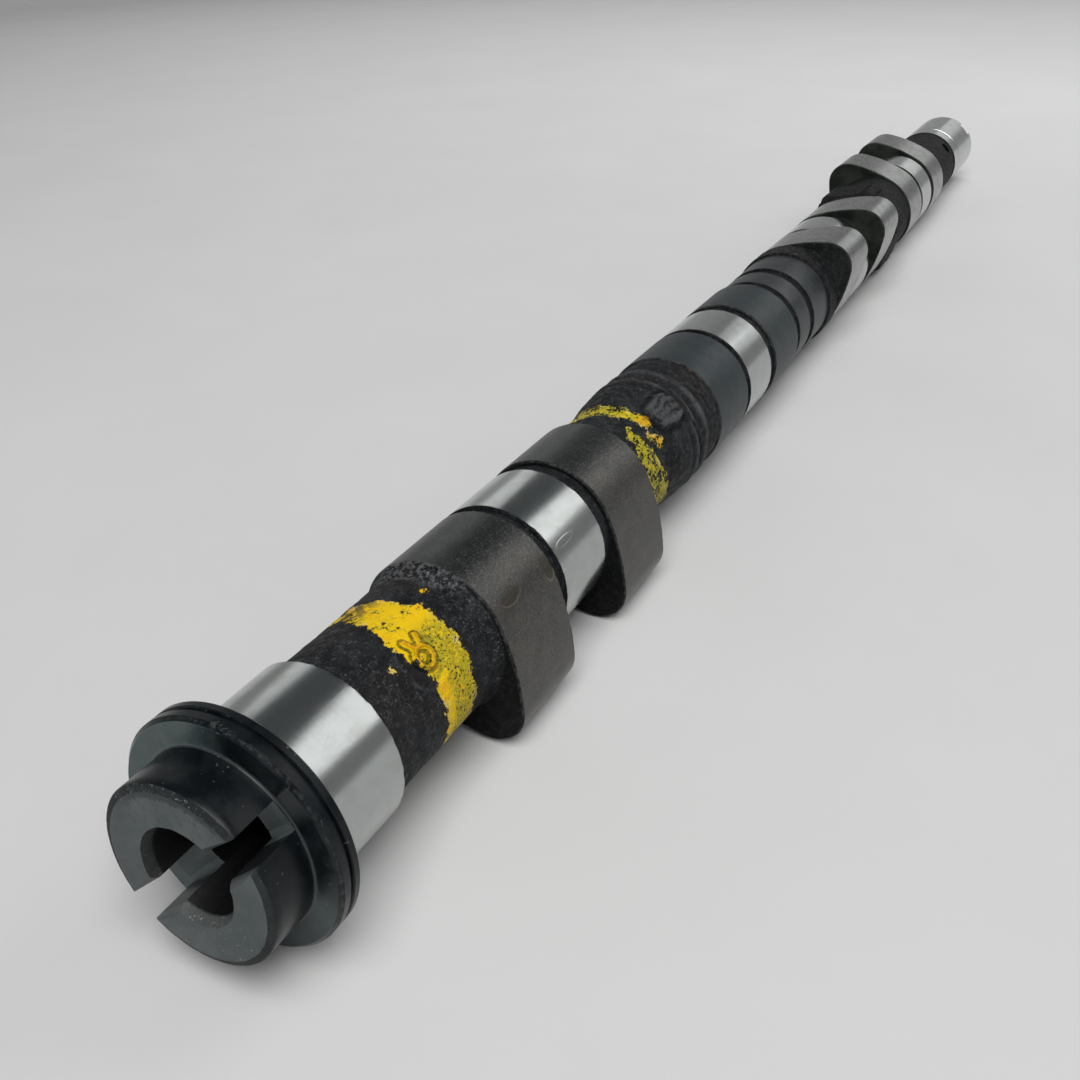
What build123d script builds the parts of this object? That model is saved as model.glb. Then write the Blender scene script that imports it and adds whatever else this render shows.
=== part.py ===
from build123d import *
from math import acos, cos, radians, sin, tan
import os

# Camshaft for four cylinders with two valves a cylinder on this shaft: one iron casting, ground where it runs.
# The axis is X, from the slotted drive end to the driven end. The origin is on the axis at the rear face of
# the thrust flange, where the first bearing journal starts. Z is up as the shaft lies on its cam noses.

# Bearing journals
journal_diameter = 27.0
front_journal_length = 15.7
journal_length = 15.0

# Cams: a base circle and a nose circle joined by convex flank arcs
base_circle_diameter = 27.2
cam_lift = 6.8
nose_radius = 6.8
flank_radius = 46.0
cam_width = 18.0
cam_edge_chamfer = 0.35

# A cylinder's pair of cams with the bearing journal between them
first_pair_start = 43.4
cylinder_spacing = 92.6
gap_ahead_of_journal = 1.8
gap_behind_journal = 3.2
gap_diameter = 25.4

# Directions round the axis, in degrees from +Y towards +Z, one for each cylinder from the drive end
nose_angles = (225.0, 315.0, 135.0, 45.0)
timing_angle = nose_angles[2]

# Thrust flange
flange_diameter = 35.6
flange_thickness = 3.8
flange_chamfer = 0.6
flange_groove_width = 0.7
flange_groove_depth = 0.5

# Drive boss with its centre bore, and the cross slot that a disc mill leaves deepest in the middle
boss_diameter = 27.4
boss_height = 7.5
boss_rim_width = 1.1
boss_rim_drop = 0.4
slot_width = 4.4
slot_depth = 8.7
slot_mill_diameter = 120.0
slot_shift = 0.75
slot_edge_chamfer = 0.7
bore_diameter = 13.9
bore_depth = 30.0
bore_tip_angle = 118.0
countersink_diameter = 15.0
countersink_depth = 1.5

# As-cast body between the drive end and the first cam
front_shank_diameter = 24.6
front_shoulder_length = 1.9
front_shoulder_diameter = 26.6

# As-cast body between the first and second cylinders
waist_diameter = 24.4
waist_length = 10.6
waist_shoulder_length = 8.0
thick_body_diameter = 26.4

# Turned locating band between the second and third cylinders
band_groove_length = 3.6
band_groove_diameter = 25.0
raised_band_length = 9.0
raised_band_diameter = 26.0
second_groove_length = 3.2
locating_band_length = 13.3
locating_band_diameter = 26.2
cast_collar_diameter = 27.5

# Cast hexagon for a spanner, and the as-cast body behind it, between the third and fourth cylinders
rear_waist_diameter = 26.0
hexagon_place = 7.2
hexagon_across_flats = 26.8
hexagon_corner_radius = 2.0
hexagon_length = 17.5
hexagon_slope_length = 3.0

# Driven end: plain shank, ground seat, end bolt hole and key notch
tail_shank_length = 30.2
tail_shank_diameter = 24.2
seat_length = 37.0
seat_diameter = 24.8
seat_chamfer = 1.0
bolt_hole_diameter = 10.8
bolt_hole_depth = 32.0
bolt_hole_mouth_diameter = 12.6
bolt_hole_tip_angle = 118.0
key_notch_width = 5.0
key_notch_depth = 1.6
key_notch_length = 4.0
timing_hole_diameter = 4.4
timing_hole_depth = 6.0
timing_hole_place = 5.5

# Stub that the mould leaves standing on the casting
stub_length = 9.0
stub_width = 7.0
stub_height = 1.1
stub_top_fillet = 0.9
stub_place = 18.3
stub_angle = 124.5

# Radii and places that follow from the sizes above
journal_radius = journal_diameter / 2
base_radius = base_circle_diameter / 2
gap_radius = gap_diameter / 2
flange_radius = flange_diameter / 2
boss_radius = boss_diameter / 2
bore_radius = bore_diameter / 2
front_shank_radius = front_shank_diameter / 2
waist_radius = waist_diameter / 2
thick_body_radius = thick_body_diameter / 2
collar_radius = cast_collar_diameter / 2
rear_waist_radius = rear_waist_diameter / 2
tail_radius = tail_shank_diameter / 2
seat_radius = seat_diameter / 2

flange_front = -flange_thickness
boss_face = flange_front - boss_height
pair_length = 2 * cam_width + gap_ahead_of_journal + journal_length + gap_behind_journal
pair_starts = [first_pair_start + i * cylinder_spacing for i in range(len(nose_angles))]
pair_ends = [start + pair_length for start in pair_starts]
seat_start = pair_ends[-1] + tail_shank_length
seat_end = seat_start + seat_length


def across(angle):
    """Unit vector square to the axis, at an angle from +Y towards +Z."""
    return Vector(0, cos(radians(angle)), sin(radians(angle)))


def radial_plane(place, angle):
    """Plane on the axis whose local x runs along the shaft and whose local z points outwards."""
    return Plane(origin=(place, 0, 0), x_dir=(1, 0, 0), z_dir=across(angle))


def revolved(points):
    """Solid turned about the axis from (place, radius) points."""
    profile = make_face(Polyline([(place, 0, radius) for place, radius in points], close=True))
    return revolve(profile, axis=Axis.X, revolution_arc=360)


def drive_end_outline():
    """Boss, thrust flange with its rim groove, and front journal."""
    rim_middle = flange_front + (flange_chamfer + flange_thickness) / 2
    groove_start = rim_middle - flange_groove_width / 2
    groove_end = rim_middle + flange_groove_width / 2
    groove_radius = flange_radius - flange_groove_depth
    return [
        (boss_face, 0),
        (boss_face, boss_radius - boss_rim_width),
        (boss_face + boss_rim_drop, boss_radius),
        (flange_front, boss_radius),
        (flange_front, flange_radius - flange_chamfer),
        (flange_front + flange_chamfer, flange_radius),
        (groove_start, flange_radius),
        (groove_start, groove_radius),
        (groove_end, groove_radius),
        (groove_end, flange_radius),
        (0, flange_radius),
        (0, journal_radius),
        (front_journal_length, journal_radius),
        (front_journal_length, front_shank_radius),
    ]


def front_shank_outline():
    """Plain casting that swells to a shoulder at the first cam."""
    return [
        (first_pair_start - front_shoulder_length, front_shank_radius),
        (first_pair_start, front_shoulder_diameter / 2),
    ]


def pair_outline(start):
    """Core under a pair of cams, with the ground journal between them."""
    journal_start = start + cam_width + gap_ahead_of_journal
    journal_end = journal_start + journal_length
    return [
        (start, gap_radius),
        (journal_start, gap_radius),
        (journal_start, journal_radius),
        (journal_end, journal_radius),
        (journal_end, gap_radius),
        (start + pair_length, gap_radius),
    ]


def shouldered_body_outline(start, end):
    """Waist behind the first cylinder, and the shoulder up to the thicker casting ahead of the second."""
    shoulder_start = start + waist_length
    return [
        (start, waist_radius),
        (shoulder_start, waist_radius),
        (shoulder_start + waist_shoulder_length, thick_body_radius),
        (end, thick_body_radius),
    ]


def locating_band_outline(start, end):
    """Groove, raised band, groove and turned locating band, then casting up to the next pair."""
    raised_start = start + band_groove_length
    raised_end = raised_start + raised_band_length
    band_start = raised_end + second_groove_length
    band_end = band_start + locating_band_length
    return [
        (start, band_groove_diameter / 2),
        (raised_start, band_groove_diameter / 2),
        (raised_start, raised_band_diameter / 2),
        (raised_end, raised_band_diameter / 2),
        (raised_end, band_groove_diameter / 2),
        (band_start, band_groove_diameter / 2),
        (band_start, locating_band_diameter / 2),
        (band_end, locating_band_diameter / 2),
        (band_end, collar_radius),
        (end, collar_radius),
    ]


def driven_end_outline():
    """Tail shank and ground seat."""
    return [
        (pair_ends[-1], tail_radius),
        (seat_start, tail_radius),
        (seat_start, seat_radius),
        (seat_end - seat_chamfer, seat_radius),
        (seat_end, seat_radius - seat_chamfer),
        (seat_end, 0),
    ]


def casting_body():
    """Everything that is round about the axis, as one turned solid."""
    outline = drive_end_outline() + front_shank_outline()
    outline += pair_outline(pair_starts[0])
    outline += shouldered_body_outline(pair_ends[0], pair_starts[1])
    outline += pair_outline(pair_starts[1])
    outline += locating_band_outline(pair_ends[1], pair_starts[2])
    outline += pair_outline(pair_starts[2])
    outline += [(pair_ends[2], rear_waist_radius), (pair_starts[3], rear_waist_radius)]
    outline += pair_outline(pair_starts[3])
    outline += driven_end_outline()
    return revolved(outline)


def below(point):
    """The same point on the other side of the cam's centre line."""
    return Vector(point.X, -point.Y)


def cam_outline():
    """Cam face with its nose on local +X: base, flank, nose and flank arcs, each tangent to the next."""
    nose_place = base_radius + cam_lift - nose_radius
    base_to_flank = flank_radius - base_radius
    nose_to_flank = flank_radius - nose_radius
    flank_x = (base_to_flank**2 - nose_to_flank**2 + nose_place**2) / (2 * nose_place)
    flank_y = -base_to_flank * sin(acos(flank_x / base_to_flank))
    flank_centre = Vector(flank_x, flank_y)
    to_base = flank_centre * (-1 / base_to_flank)
    to_nose = (Vector(nose_place, 0) - flank_centre) * (1 / nose_to_flank)
    base_tangent = to_base * base_radius
    nose_tangent = flank_centre + to_nose * flank_radius
    flank_middle = flank_centre + (to_base + to_nose).normalized() * flank_radius
    return make_face([
        ThreePointArc(nose_tangent, flank_middle, base_tangent),
        ThreePointArc(base_tangent, (-base_radius, 0), below(base_tangent)),
        ThreePointArc(below(base_tangent), below(flank_middle), below(nose_tangent)),
        ThreePointArc(below(nose_tangent), (base_radius + cam_lift, 0), nose_tangent),
    ])


def cam(start, nose_angle):
    """One ground cam with its edges broken."""
    plane = Plane(origin=(start, 0, 0), x_dir=across(nose_angle), z_dir=(1, 0, 0))
    blank = extrude(plane * cam_outline(), amount=cam_width)
    sides = blank.faces().filter_by(Axis.X)
    return chamfer(sides.edges(), cam_edge_chamfer)


def cam_pair(start, nose_angle):
    """The two cams of a cylinder, one each side of its journal."""
    second_start = start + pair_length - cam_width
    return [cam(start, nose_angle), cam(second_start, nose_angle)]


def spanner_hexagon(start):
    """Cast hexagon for a spanner, one flat square to the timing direction, its ends sloped down."""
    corner_reach = hexagon_across_flats / 2 / cos(radians(30))
    plane = Plane(origin=(start, 0, 0), x_dir=across(timing_angle + 30), z_dir=(1, 0, 0))
    outline = RegularPolygon(corner_reach, 6)
    blank = extrude(plane * fillet(outline.vertices(), hexagon_corner_radius), amount=hexagon_length)
    end = start + hexagon_length
    sloped_ends = revolved([
        (start, 0),
        (start, rear_waist_radius),
        (start + hexagon_slope_length, corner_reach),
        (end - hexagon_slope_length, corner_reach),
        (end, rear_waist_radius),
        (end, 0),
    ])
    return blank & sloped_ends


def drive_slot():
    """Cutter for the cross slot, set off the axis towards the first cylinder's noses.

    Its top edges are eased, and its floor is the arc of the disc mill.
    """
    plane = Plane(
        origin=(boss_face, 0, 0), x_dir=across(timing_angle + 90), z_dir=across(timing_angle)
    )
    half_width = slot_width / 2
    half_mouth = half_width + slot_edge_chamfer
    profile = make_face(Polyline([
        (-half_mouth, 0),
        (half_mouth, 0),
        (half_width, slot_edge_chamfer),
        (half_width, slot_depth + slot_width),
        (-half_width, slot_depth + slot_width),
        (-half_width, slot_edge_chamfer),
    ], close=True))
    trench = extrude(plane * Pos(slot_shift, 0) * profile, amount=flange_radius, both=True)
    mill_radius = slot_mill_diameter / 2
    mill_centre = boss_face + slot_depth - mill_radius
    mill_plane = Plane(origin=(mill_centre, 0, 0), z_dir=across(timing_angle + 90))
    return trench & mill_plane * Cylinder(mill_radius, boss_diameter)


def blind_hole(mouth, inward, radius, depth, mouth_radius, mouth_depth, tip_angle):
    """Cutter on the axis for a drilled hole with a countersunk mouth; inward is 1 towards +X, else -1."""
    tip = radius / tan(radians(tip_angle / 2))
    return revolved([
        (mouth, 0),
        (mouth, mouth_radius),
        (mouth + inward * mouth_depth, radius),
        (mouth + inward * depth, radius),
        (mouth + inward * (depth + tip), 0),
    ])


def centre_bore():
    """Bore in the middle of the drive boss."""
    return blind_hole(
        boss_face, 1, bore_radius, bore_depth, countersink_diameter / 2, countersink_depth, bore_tip_angle
    )


def end_bolt_hole():
    """Hole for the end bolt, at the driven end."""
    radius = bolt_hole_diameter / 2
    mouth_radius = bolt_hole_mouth_diameter / 2
    return blind_hole(
        seat_end, -1, radius, bolt_hole_depth, mouth_radius, mouth_radius - radius, bolt_hole_tip_angle
    )


def key_notch():
    """Notch for a key across the rim of the driven end."""
    plane = radial_plane(seat_end - key_notch_length / 2, timing_angle)
    floor = seat_radius - key_notch_depth
    return extrude(
        plane * Pos(0, 0, floor) * Rectangle(key_notch_length, key_notch_width), amount=seat_radius
    )


def timing_hole():
    """Small blind hole in the side of the tail shank, in line with the slot."""
    plane = radial_plane(seat_start - timing_hole_place, timing_angle)
    floor = tail_radius - timing_hole_depth
    return extrude(plane * Pos(0, 0, floor) * Circle(timing_hole_diameter / 2), amount=seat_radius)


def cast_stub(place, angle, body_radius):
    """Rounded stub left standing on the casting."""
    plane = radial_plane(place, angle)
    blank = extrude(plane * Ellipse(stub_length / 2, stub_width / 2), amount=body_radius + stub_height)
    top = blank.faces().sort_by(Axis(plane.origin, plane.z_dir))[-1]
    return fillet(top.edges(), stub_top_fillet)


def camshaft():
    """The whole casting with its cams, stub, hexagon, slot and holes."""
    shaft = casting_body()
    for start, nose_angle in zip(pair_starts, nose_angles):
        shaft += cam_pair(start, nose_angle)
    shaft += cast_stub(pair_ends[0] + stub_place, stub_angle, thick_body_radius)
    shaft += spanner_hexagon(pair_ends[2] + hexagon_place)
    shaft -= drive_slot()
    shaft -= centre_bore()
    shaft -= end_bolt_hole()
    shaft -= key_notch()
    shaft -= timing_hole()
    return shaft


os.makedirs("parts", exist_ok=True)
export_step(camshaft(), "parts/camshaft.step")
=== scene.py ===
import math

import bmesh
import bpy
import numpy as np
from mathutils import Euler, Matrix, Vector, noise


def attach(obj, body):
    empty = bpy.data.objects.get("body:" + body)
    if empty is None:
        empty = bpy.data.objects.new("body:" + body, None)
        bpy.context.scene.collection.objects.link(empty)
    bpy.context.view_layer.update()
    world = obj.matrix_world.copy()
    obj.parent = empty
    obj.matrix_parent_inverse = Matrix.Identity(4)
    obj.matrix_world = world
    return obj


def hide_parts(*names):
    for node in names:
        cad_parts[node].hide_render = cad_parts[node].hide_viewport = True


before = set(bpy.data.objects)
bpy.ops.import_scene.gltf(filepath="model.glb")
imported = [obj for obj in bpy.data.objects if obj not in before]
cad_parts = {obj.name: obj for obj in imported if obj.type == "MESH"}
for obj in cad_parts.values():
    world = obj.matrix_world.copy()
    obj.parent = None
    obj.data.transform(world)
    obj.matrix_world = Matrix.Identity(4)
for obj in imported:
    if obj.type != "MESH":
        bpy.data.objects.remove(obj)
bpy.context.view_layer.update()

# A cast iron camshaft. Sizes are in millimetres and directions in degrees from +Y towards +Z; X is the axis.
MM = 0.001
# Directions of the points of a ring, closer together on the side that carries the marks
marked_side = (30.0, 210.0)
marked_steps = 124
plain_steps = 64
turn_degrees = np.concatenate([
    np.linspace(marked_side[0], marked_side[1], marked_steps, endpoint=False),
    np.linspace(marked_side[1], marked_side[0] + 360, plain_steps, endpoint=False),
]) % 360
turn = np.radians(turn_degrees)
ROUND = marked_steps + plain_steps

# Journals and cams
journal_radius = 13.5
front_journal_length = 15.7
journal_length = 15.0
journal_edge = 0.25
base_radius = 13.6
cam_lift = 6.8
nose_radius = 6.8
flank_radius = 46.0
cam_width = 18.0
cam_edge = 0.35
first_pair_start = 43.4
cylinder_spacing = 92.6
gap_ahead = 1.8
gap_behind = 3.2
gap_radius = 12.7
nose_angles = (225.0, 315.0, 135.0, 45.0)
timing_angle = nose_angles[2]
pair_length = 2 * cam_width + gap_ahead + journal_length + gap_behind
pair_starts = [first_pair_start + i * cylinder_spacing for i in range(4)]
pair_ends = [start + pair_length for start in pair_starts]

# Drive end
boss_radius = 13.7
boss_face = -11.3
boss_rim_width = 1.1
boss_rim_drop = 0.4
boss_root = 0.4
flange_radius = 17.8
flange_front = -3.8
flange_edge = 0.6
flange_back_edge = 0.25
flange_groove = (-1.95, -1.25, 0.5)
slot_width = 4.4
slot_floor = -2.6
slot_mill_radius = 60.0
slot_shift = 0.75
slot_edge_near_bore = 0.85
slot_edge_at_rim = 0.3
bore_radius = 6.95
bore_end = 18.7
sink_radius = 7.5
sink_depth = 1.5

# Cast shanks; a run of skin starts and ends a side's root away from the cams
side_root = 0.8
front_shank_radius = 12.3
first_cam_foot = 13.1
second_shank_radius = 13.2
third_shank_radius = 13.75
tail_radius = 12.1
# First shank in stretches: its (place, radius) points and the pitch of its rings, finest at the cast mark
front_shank = (
    (((front_journal_length + 0.5, 12.5), (18.5, front_shank_radius), (24.4, front_shank_radius)), 0.6),
    (((24.8, front_shank_radius), (33.6, front_shank_radius)), 0.33),
    (((34.2, front_shank_radius), (38.8, front_shank_radius)), 0.6),
    (((39.2, front_shank_radius), (41.0, 12.35), (first_pair_start - 0.65, 12.95)), 0.36),
)
# Bands behind the second pair of cams: radius, start and end from the pair's end, and finish
bands = (
    (12.5, 0.0, 3.6, "cast"),
    (13.0, 3.6, 12.6, "band"),
    (12.5, 12.6, 15.8, "cast"),
    (13.1, 15.8, 29.1, "band"),
)
band_edge = 0.2
band_groove_shade = -0.55
# Spanner hexagon behind the third pair of cams
hexagon_gap = 7.2
hexagon_length = 17.5
hexagon_flat = 13.4
hexagon_corner = 15.4
hexagon_corner_round = 2.0
hexagon_slope = 3.0
hexagon_foot = 13.0

# Driven end
seat_start = 407.4
seat_end = 444.4
seat_radius = 12.4
seat_edge = 1.0
seat_line = (415.5, 0.5, 0.25)
bolt_radius = 5.4
bolt_depth = 32.0
notch_length = 4.0
notch_width = 5.0
notch_floor = 10.8
side_hole_place = 401.9
side_hole_radius = 2.2
side_hole_floor = 6.1

# Unevenness of cast and ground-off places, as humps of (size, height, seed)
skin_humps = ((5.0, 0.10, 0.0), (1.7, 0.10, 31.0), (0.8, 0.06, 77.0))
crust_humps = (1.1, 0.34, 91.0)
side_humps = ((2.4, 0.10, 3.0), (1.0, 0.05, 9.0))
cam_edge_humps = ((1.5, 0.16, 0.0), (0.7, 0.12, 0.0))
journal_edge_humps = ((1.4, 0.16, 0.0), (0.6, 0.10, 0.0))
front_journal_humps = ((1.6, 0.16, 0.0), (0.7, 0.08, 0.3))
rim_humps = ((1.5, 0.07, 41.0), (0.6, 0.05, 43.0))
# Rough crust of sand just ahead of the first cam
crust_start = 39.6
crust_end = 43.6

# What the mould left standing on the cast skin
stub_place, stub_angle = 117.7, 124.5
stub_length, stub_width, stub_height = 9.0, 7.0, 1.1
stub_squareness = 3.2
stub_humps = ((2.6, 0.14, 11.0), (1.1, 0.08, 13.0))
mark_place, mark_angle, mark_height = 28.8, 131.0, 0.6
mark_ring_radius = 1.6
mark_line = 0.34
mark_ribs = (64.0, 108.0)
mark_rib_length = 3.7
mark_circle_radius = 4.8
flash_line = ((124.0, 112.0), (123.8, 118.5), (123.0, 146.5), (124.7, 169.5), (125.6, 190.0))
# Mould rings as (place, width, rise); a rise lightens its ridge as painted highlight and a drop darkens its
# groove as painted shade
mould_rings = (
    (119.4, 1.0, 0.30), (121.3, 0.6, -0.35), (123.2, 1.0, 0.75), (125.6, 0.7, -0.40), (127.9, 1.1, 0.75),
    (130.6, 0.7, -0.35), (132.9, 0.5, -0.40), (113.0, 2.0, 0.12), (110.4, 1.0, -0.12), (303.0, 1.6, 0.15),
    (312.0, 2.5, -0.12),
)

# Yellow paint: strokes of the brush as (place, angle, half width), each through its points
paint_strokes = (
    ((30.0, 38, 2.6), (30.4, 60, 2.2), (30.6, 74, 3.4), (30.6, 92, 3.9), (30.8, 110, 5.0), (31.4, 128, 4.8),
     (32.0, 145, 4.2), (31.9, 165, 4.0), (32.0, 190, 3.6), (32.6, 218, 3.2)),
    ((107.6, 46, 3.8), (108.2, 60, 3.4), (108.8, 76, 2.7), (109.2, 96, 2.1), (110.6, 118, 1.7)),
    ((105.2, 114, 0.9), (104.2, 126, 1.9), (103.8, 142, 2.8), (104.6, 165, 3.2), (106.6, 188, 3.6),
     (108.0, 205, 3.4)),
    ((108.8, 134, 1.3), (110.2, 140, 1.5)),
    ((38.6, 96, 0.5), (38.9, 98, 0.4)),
    ((22.8, 124, 0.5), (23.2, 126, 0.3)),
)
no_paint = -6.0


def ease(value):
    """Smooth step of a value held between 0 and 1."""
    value = np.clip(value, 0.0, 1.0)
    return value * value * (3 - 2 * value)


def bell(off, width):
    """Hump that is 1 where it stands and fades over a width."""
    return np.exp(-((off / width) ** 2))


def lumps(place, radius, size, seed=0.0):
    """Smooth noise from -1 to 1 at each point of a ring, with humps of a size in mm."""
    points = np.stack([
        place + seed + np.zeros(ROUND),
        radius * np.cos(turn),
        radius * np.sin(turn),
    ], axis=1) / size
    return np.array([noise.noise(Vector(point)) for point in points])


def uneven(place, radius, *humps):
    """Sum of the noises of several (size, height, seed) humps at each point of a ring."""
    return sum(height * lumps(place, radius, size, seed) for size, height, seed in humps)


def around(angle, radius):
    """Distance along a ring, in mm, from an angle, the short way round."""
    return np.radians((turn_degrees - angle + 180) % 360 - 180) * radius


def to_stroke(across_x, across_round, start, end):
    """Distance of each point to the straight line between two points, and how far along it that is."""
    line_x = end[0] - start[0]
    line_round = end[1] - start[1]
    part = (across_x - start[0]) * line_x + (across_round - start[1]) * line_round
    part = np.clip(part / (line_x**2 + line_round**2), 0, 1)
    gap_x = across_x - start[0] - part * line_x
    gap_round = across_round - start[1] - part * line_round
    return np.hypot(gap_x, gap_round), part


def skin(place, radius):
    """Height of the sand-cast skin: waves, pebbles and a fine crust, coarser just ahead of the first cam."""
    height = uneven(place, radius, *skin_humps)
    if crust_start < place < crust_end:
        height = height + uneven(place, radius, crust_humps) * ease((place - crust_start) / 1.5)
    return height


def mark_relief(place, radius):
    """Small raised ring with two ribs that meet at it, in a faint circle: its height, and a tone that is
    lighter on its tops as painted highlight and darker at their feet as painted shade.
    """
    from_x = place - mark_place
    from_round = -around(mark_angle, radius)
    out = np.hypot(from_x, from_round)
    off = np.abs(out - mark_ring_radius)
    for rib in mark_ribs:
        way = np.array([math.cos(math.radians(rib)), math.sin(math.radians(rib))])
        off = np.minimum(off, to_stroke(from_x, from_round, way * mark_ring_radius, way * mark_rib_length)[0])
    top = ease((mark_line + 0.12 - off) / 0.3)
    foot = bell(off - mark_line - 0.3, 0.22)
    circle = bell(out - mark_circle_radius, 0.4)
    bare = ease((mark_circle_radius - 0.5 - out) / 0.8) * ease((from_x - 0.3 * from_round + 0.6) / 1.2)
    height = mark_height * top - 0.12 * foot + 0.16 * circle
    # Tone: tops lighter as painted highlight, feet darker as painted shade, and a bare patch beside it darker
    return height, top - foot + 0.5 * circle - 0.3 * bare * (1 - top)


def stub_relief(place, radius):
    """Broken-off stub with a scored top: its height, and a tone for its top that is lighter towards its front
    end as painted highlight, with its foot darker as painted shade.
    """
    from_round = around(stub_angle, radius)
    off_x = np.abs((place - stub_place) / (stub_length / 2))
    off_round = np.abs(from_round / (stub_width / 2))
    off = (off_x**stub_squareness + off_round**stub_squareness) ** (1 / stub_squareness)
    off = off + uneven(place, radius, *stub_humps)
    top = ease((1.08 - off) / 0.24)
    scored = np.sin(from_round * 4.0 + 5.0 * lumps(place, radius, 4.0, seed=17.0))
    scored = scored * (0.6 + 0.6 * lumps(place, radius, 1.6, seed=19.0))
    slope = 0.25 * (place - stub_place) / stub_length
    foot = bell(off - 1.18, 0.12)
    height = stub_height * top * (0.92 + 0.12 * scored + slope) - 0.15 * foot
    # Tone: scored top lit more at its front end as painted highlight, foot darkened as painted shade
    return height, top * (0.60 + 0.7 * scored - 2.0 * slope) - 0.9 * foot


def flash_relief(place, radius):
    """Step where the halves of the mould met: a groove with a lip behind it; its height, and a tone that
    darkens the groove as painted shade and lightens the lip as painted highlight.
    """
    off = np.full(ROUND, 9.0)
    for start, end in zip(flash_line, flash_line[1:]):
        end_round = math.radians(end[1] - start[1]) * second_shank_radius
        stroke = to_stroke(place, around(start[1], radius), (start[0], 0.0), (end[0], end_round))
        off = np.minimum(off, stroke[0])
    inside = ((turn_degrees > flash_line[0][1]) & (turn_degrees < flash_line[-1][1])).astype(float)
    middle = np.interp(turn_degrees, [point[1] for point in flash_line], [point[0] for point in flash_line])
    groove = bell(off, 0.42) * inside
    lip = bell(place - middle - 1.1, 0.5) * inside
    # Tone: lip lighter as painted highlight, groove darker as painted shade
    return 0.30 * lip - 0.45 * groove, 0.5 * lip - 1.0 * groove


def relief(place, radius):
    """Everything that stands on the cast skin at a ring: its height, and where it is raised or sunk, as a
    tone that is lighter on raised places (rubbed skin and painted highlight) and darker on sunk ones (painted
    shade).
    """
    height = skin(place, radius)
    # Skin tone from its height: tops lighter as rubbed skin and painted highlight, hollows darker as painted
    # shade
    raised = 1.6 * (height - 0.05)
    marks = ((mark_place, 7, mark_relief), (stub_place, 7, stub_relief), (flash_line[1][0], 5, flash_relief))
    for middle, reach, mark in marks:
        if abs(place - middle) < reach:
            rise, tops = mark(place, radius)
            height = height + rise
            raised = raised + tops
    for middle, width, rise in mould_rings:
        if abs(place - middle) < 4 * width:
            wander = middle + 0.7 * lumps(middle, radius, 9.0, seed=5.0)
            fade = 0.55 + 0.45 * lumps(middle, radius, 7.0, seed=middle)
            wave = fade * bell(place - wander, width)
            height = height + rise * wave
            # Ridges of the mould rings lighter as painted highlight, their grooves darker as painted shade
            raised = raised + 1.6 * rise * wave
    return height, raised


# The shaft as rings from the drive end to the driven end: place, radius, the finish ahead of it, edge wear,
# and how raised or sunk the skin is, a tone that lightens raised skin as rubbed skin and painted highlight
# and darkens sunk skin as painted shade
rings = []


def ring(place, radius, finish, wear=0.0, raised=0.0):
    """Adds a ring; each value but the finish is one number, or one for each direction."""
    full = np.zeros(ROUND)
    rings.append((full + place, full + radius, finish, full + wear, full + raised))


def cast_run(points, pitch):
    """Cast skin through (place, radius) points, with rounded shoulders."""
    places = [point[0] for point in points]
    radii = [point[1] for point in points]
    count = round((places[-1] - places[0]) / pitch)
    for place in np.linspace(places[0], places[-1], count + 1):
        step = max(i for i in range(len(places) - 1) if place >= places[i] - 1e-6)
        part = ease((place - places[step]) / (places[step + 1] - places[step]))
        radius = radii[step] + (radii[step + 1] - radii[step]) * part
        height, raised = relief(place, radius)
        ring(place, radius + height, "cast", raised=raised)


def cam_radius(nose_angle):
    """Radius of the cam outline in each direction: base, flank and nose arcs, each tangent to the next."""
    nose_place = base_radius + cam_lift - nose_radius
    base_to_flank = flank_radius - base_radius
    nose_to_flank = flank_radius - nose_radius
    flank_x = (base_to_flank**2 - nose_to_flank**2 + nose_place**2) / (2 * nose_place)
    flank_y = -math.sqrt(base_to_flank**2 - flank_x**2)
    base_tangent = math.atan2(-flank_y, -flank_x)
    reach = flank_radius / nose_to_flank
    nose_tangent = math.atan2(flank_y - flank_y * reach, flank_x + (nose_place - flank_x) * reach)
    off = np.abs((turn - math.radians(nose_angle) + math.pi) % (2 * math.pi) - math.pi)
    toward = flank_x * np.cos(off) + flank_y * np.sin(off)
    aside = flank_x * np.sin(off) - flank_y * np.cos(off)
    flank = toward + np.sqrt(np.maximum(flank_radius**2 - aside**2, 0))
    nose_aside = np.minimum(nose_place * np.sin(off), nose_radius)
    nose = nose_place * np.cos(off) + np.sqrt(nose_radius**2 - nose_aside**2)
    return np.where(off >= base_tangent, base_radius, np.where(off <= nose_tangent, nose, flank))


def side_face(place, first, last, outward):
    """Cast side of a cam between two radii, with a soft root at its inner end; outward is -1 or 1 along X."""
    step = np.abs(last - first)
    root = 0.5 * np.clip(step / 2.0, 0.1, 1.0)
    rough = np.clip(step, 0.2, 1.0)
    parts = (0.12, 0.32, 0.55, 0.78) if outward < 0 else (0.22, 0.45, 0.68, 0.88)
    if outward < 0:
        ring(place - root, first, "cast")
        ring(place - root * 0.3, first + root * 0.3, "cam_side")
    for part in parts:
        radius = first + (last - first) * part
        depth = uneven(place, radius, *side_humps)
        ring(place + depth * rough * 4 * part * (1 - part), radius, "cam_side")
    if outward > 0:
        ring(place + root * 0.3, last + root * 0.3, "cam_side")
        ring(place + root, last, "cam_side")


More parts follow.
